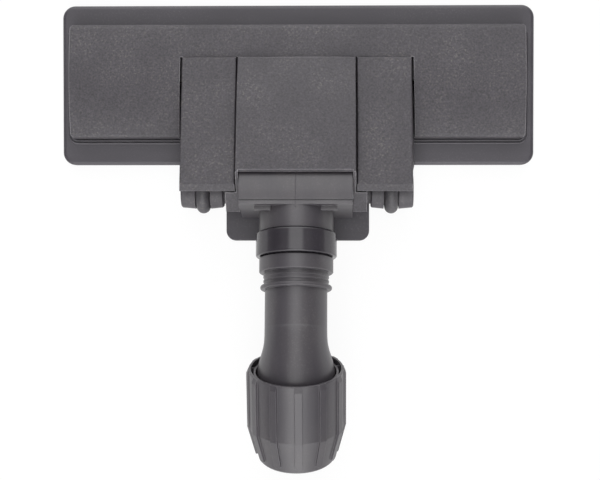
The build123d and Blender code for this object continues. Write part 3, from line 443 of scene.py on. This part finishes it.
def strand(shape, points, radii, sides, across=None):
    # closed thin tube through a few points, with a radius at each
    rings = []
    for spot, point in enumerate(points):
        along = (points[min(spot + 1, len(points) - 1)] - points[max(spot - 1, 0)]).normalized()
        sideways = across or along.orthogonal().normalized()
        upright = along.cross(sideways)
        ring = []
        for turn in range(sides):
            angle = fullTurn * turn / sides
            outwards = sideways * math.cos(angle) + upright * math.sin(angle)
            ring.append(shape.verts.new(point + outwards * radii[spot]))
        rings.append(ring)
    skinRings(shape, rings)
    shape.faces.new(rings[0][::-1])
    shape.faces.new(rings[-1])


def placePiece(name, shape, material, body, slotName, *standsFor):
    data = bpy.data.meshes.new(name)
    bmesh.ops.recalc_face_normals(shape, faces=shape.faces)
    shape.to_mesh(data)
    shape.free()
    data.materials.append(material)
    data.shade_smooth()
    data.set_sharp_from_angle(angle=smoothBelow)
    piece = bpy.data.objects.new(name, data)
    scene.collection.objects.link(piece)
    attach(piece, body)
    if standsFor:
        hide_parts(*standsFor)
    return piece


# Bristle rows: two staggered lines of tufts in the place of each plain block
bristleSetup = {
    "pitch": 0.0040, "endInset": 0.0022, "lineOffset": 0.00085, "stagger": 0.25, "tuftRadius": 0.0007,
    "filaments": 16, "filamentRadius": 0.00014, "tipTaper": 0.8, "spread": 0.00035, "leastSpread": 0.2,
    "bow": 0.12, "sideGap": 0.0002, "shorter": 0.0006, "sides": 5, "seed": 11,
}
for rowName in ("front_bristles", "rear_bristles"):
    low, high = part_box(rowName)
    middleY = (low.y + high.y) / 2
    chance = random.Random(bristleSetup["seed"])
    row = bmesh.new()
    run = high.x - low.x - 2 * bristleSetup["endInset"]
    tufts = int(run / bristleSetup["pitch"])
    thin = bristleSetup["filamentRadius"]
    radii = [thin, thin, bristleSetup["tipTaper"] * thin]
    leastY, mostY = low.y + bristleSetup["sideGap"], high.y - bristleSetup["sideGap"]
    for line in (-1, 1):
        tuftY = middleY + line * bristleSetup["lineOffset"]
        for tuft in range(tufts):
            place = tuft + 0.5 + bristleSetup["stagger"] * line
            tuftX = low.x + bristleSetup["endInset"] + place * run / tufts
            for _ in range(bristleSetup["filaments"]):
                angle = chance.uniform(0, fullTurn)
                out = bristleSetup["tuftRadius"] * math.sqrt(chance.random())
                root = aroundUpright(tuftX, tuftY, high.z, out, angle)
                splay = bristleSetup["spread"] * chance.uniform(bristleSetup["leastSpread"], 1.0)
                tip = root + Vector((splay * math.cos(angle), splay * math.sin(angle), 0))
                tip.y = min(max(tip.y, leastY), mostY)
                tip.z = low.z + chance.uniform(0, bristleSetup["shorter"])
                middle = (root + tip) / 2 - (tip - root) * bristleSetup["bow"]
                middle.z = (root.z + tip.z) / 2
                strand(row, [root, middle, tip], radii, bristleSetup["sides"])
    placePiece(rowName.replace("bristles", "bristle_tufts"), row, nylonBristle, "brush", "bristle_nylon",
               rowName)
    print(rowName, "tufted,", 2 * tufts, "tufts")

# Lint strips: a woven backing with short pile that leans towards the middle of the sole
lintSetup = {
    "backing": 0.0005, "uprightLeast": 0.9, "cornerRound": 0.0006, "cornerSteps": 3,
    "stepAlong": 0.00085, "stepAcross": 0.00055, "startAlong": 0.0006, "startAcross": 0.0004,
    "bareAlong": 0.0016, "bareAcross": 0.0006, "scatter": 0.4,
    "rootDepth": 0.8, "fibreRadius": 0.00016, "tipTaper": 0.6, "sides": 4, "lean": 0.0005, "leastLean": 0.5,
    "sway": 0.0001, "shorter": 0.00012, "endGap": 0.0002, "seed": 23,
}
for sideName, towards in (("left", 1), ("right", -1)):
    nodeName = "lint_strip_" + sideName
    low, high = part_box(nodeName)
    chance = random.Random(lintSetup["seed"])
    strip = bmesh.new()
    size = high - low
    backing = bmesh.ops.create_cube(strip, size=1.0)
    for corner in backing["verts"]:
        corner.co = Vector((
            (low.x + high.x) / 2 + corner.co.x * size.x,
            (low.y + high.y) / 2 + corner.co.y * size.y,
            high.z - lintSetup["backing"] * (0.5 - corner.co.z),
        ))
    uprights = [
        edge for edge in strip.edges
        if abs((edge.verts[0].co - edge.verts[1].co).normalized().z) > lintSetup["uprightLeast"]
    ]
    bmesh.ops.bevel(strip, geom=uprights, offset=lintSetup["cornerRound"], segments=lintSetup["cornerSteps"],
                    affect="EDGES")
    rowsAcross = int((size.y - lintSetup["bareAcross"]) / lintSetup["stepAcross"])
    rowsAlong = int((size.x - lintSetup["bareAlong"]) / lintSetup["stepAlong"])
    radii = [lintSetup["fibreRadius"], lintSetup["tipTaper"] * lintSetup["fibreRadius"]]
    leastX, mostX = low.x + lintSetup["endGap"], high.x - lintSetup["endGap"]
    for across in range(rowsAcross):
        for along in range(rowsAlong):
            placeAlong = along + 0.5 * (across % 2) + chance.uniform(0, lintSetup["scatter"])
            placeAcross = across + chance.uniform(0, lintSetup["scatter"])
            root = Vector((
                low.x + lintSetup["startAlong"] + placeAlong * lintSetup["stepAlong"],
                low.y + lintSetup["startAcross"] + placeAcross * lintSetup["stepAcross"],
                high.z - lintSetup["rootDepth"] * lintSetup["backing"],
            ))
            tip = root + Vector((
                towards * lintSetup["lean"] * chance.uniform(lintSetup["leastLean"], 1.0),
                chance.uniform(-lintSetup["sway"], lintSetup["sway"]),
                low.z + chance.uniform(0, lintSetup["shorter"]) - root.z,
            ))
            tip.x = min(max(tip.x, leastX), mostX)
            strand(strip, [root, tip], radii, lintSetup["sides"])
    placePiece("lint_pile_" + sideName, strip, pileFabric, "head", "lint_pile", nodeName)
print("lint strips piled")

# Housing screws: countersunk heads with a cross recess, flush in the sole, and a coarse plastic thread
screwSetup = {
    "spots": [(0.108, -0.022), (0.076, -0.022), (-0.076, -0.022), (-0.108, -0.022)],
    "headRadius": 0.0031, "headDepth": 0.0017, "edge": 0.00025,
    "rim": [(2.0, 0.0), (1.3, 0.3), (1.2, 1.0)],  # inwards and up, in edges
    "recessArm": 0.0017, "recessHalf": 0.00042, "recessDepth": 0.0011, "recessTaper": 0.55,
    "shankRadius": 0.00125, "tip": 0.0012, "tipRadius": 0.0003, "sides": 36,
    "threadRadius": 0.0015, "pitch": 0.0013, "threadStart": 0.0006, "threadBare": 0.0008,
    "threadSteps": 14, "threadSides": 4,
}
low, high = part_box("housing_screws")
faceZ = low.z
screws = bmesh.new()
profile = [
    (screwSetup["headRadius"] - inwards * screwSetup["edge"], faceZ + up * screwSetup["edge"])
    for inwards, up in screwSetup["rim"]
] + [
    (screwSetup["shankRadius"], faceZ + screwSetup["headDepth"]),
    (screwSetup["shankRadius"], high.z - screwSetup["tip"]),
    (screwSetup["tipRadius"], high.z),
]
sides, steps = screwSetup["sides"], screwSetup["threadSteps"]
arm, thick = screwSetup["recessArm"], screwSetup["recessHalf"]
cross = []
for quarter in range(4):
    turn = Matrix.Rotation(quarter * math.pi / 2, 2)
    cross += [turn @ Vector(point) for point in ((arm, -thick), (arm, thick), (thick, thick))]
threadLength = high.z - screwSetup["tip"] - faceZ - screwSetup["headDepth"] - screwSetup["threadBare"]
threadHeight = screwSetup["threadRadius"] - screwSetup["shankRadius"]
threadFoot = faceZ + screwSetup["headDepth"] + screwSetup["threadStart"]
for spotX, spotY in screwSetup["spots"]:
    rings = [
        [screws.verts.new(aroundUpright(spotX, spotY, height, radius, fullTurn * turn / sides))
         for turn in range(sides)]
        for radius, height in profile
    ]
    skinRings(screws, rings)
    screws.faces.new(rings[-1])
    mouth, deep = [
        [screws.verts.new((spotX + taper * point.x, spotY + taper * point.y, faceZ + depth)) for point in cross]
        for taper, depth in ((1.0, 0.0), (screwSetup["recessTaper"], screwSetup["recessDepth"]))
    ]
    rim = [screws.edges.new((mouth[spot - 1], mouth[spot])) for spot in range(len(mouth))]
    outer = [screws.edges.get((rings[0][spot - 1], rings[0][spot])) for spot in range(sides)]
    bmesh.ops.triangle_fill(screws, edges=rim + outer, use_beauty=True)
    for spot in range(len(cross)):
        screws.faces.new((mouth[spot - 1], mouth[spot], deep[spot], deep[spot - 1]))
    screws.faces.new(deep)
    helix = [
        aroundUpright(spotX, spotY, threadFoot + screwSetup["pitch"] * step / steps, screwSetup["shankRadius"],
                      fullTurn * step / steps)
        for step in range(int(threadLength / screwSetup["pitch"] * steps))
    ]
    strand(screws, helix, [threadHeight] * len(helix), screwSetup["threadSides"], across=straightUp)
placePiece("cross_recess_screws", screws, steelZinc, "head", "plated_steel", "housing_screws")
print("screws made")

# Lift springs: round wire with flat ends, wound as a fixed coil in each spring's box; on the real head the
# carrier presses them down as the brush drops
springSetup = {
    "turns": 4.0, "endTurn": 0.35, "wireRadius": 0.0005, "sides": 8, "stepsPerTurn": 24, "pressed": 0.28,
}
for sideName in ("left", "right"):
    nodeName = "lift_spring_" + sideName
    low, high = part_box(nodeName)
    middle = (low + high) / 2
    wire = springSetup["wireRadius"]
    coilRadius = (high.x - low.x) / 2 - wire
    rising = springSetup["turns"] - 2 * springSetup["endTurn"]
    coil = []
    for step in range(int(springSetup["turns"] * springSetup["stepsPerTurn"]) + 1):
        turned = step / springSetup["stepsPerTurn"]
        risen = min(max((turned - springSetup["endTurn"]) / rising, 0.0), 1.0)
        height = low.z + wire + risen * (high.z - low.z - 2 * wire)
        coil.append(aroundUpright(middle.x, middle.y, height, coilRadius, fullTurn * turned))
    spring = bmesh.new()
    strand(spring, coil, [wire] * len(coil), springSetup["sides"], across=straightUp)
    springPiece = placePiece("lift_coil_" + sideName, spring, steelZinc, "head", "plated_steel", nodeName)
    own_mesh(springPiece)
print("springs wound")
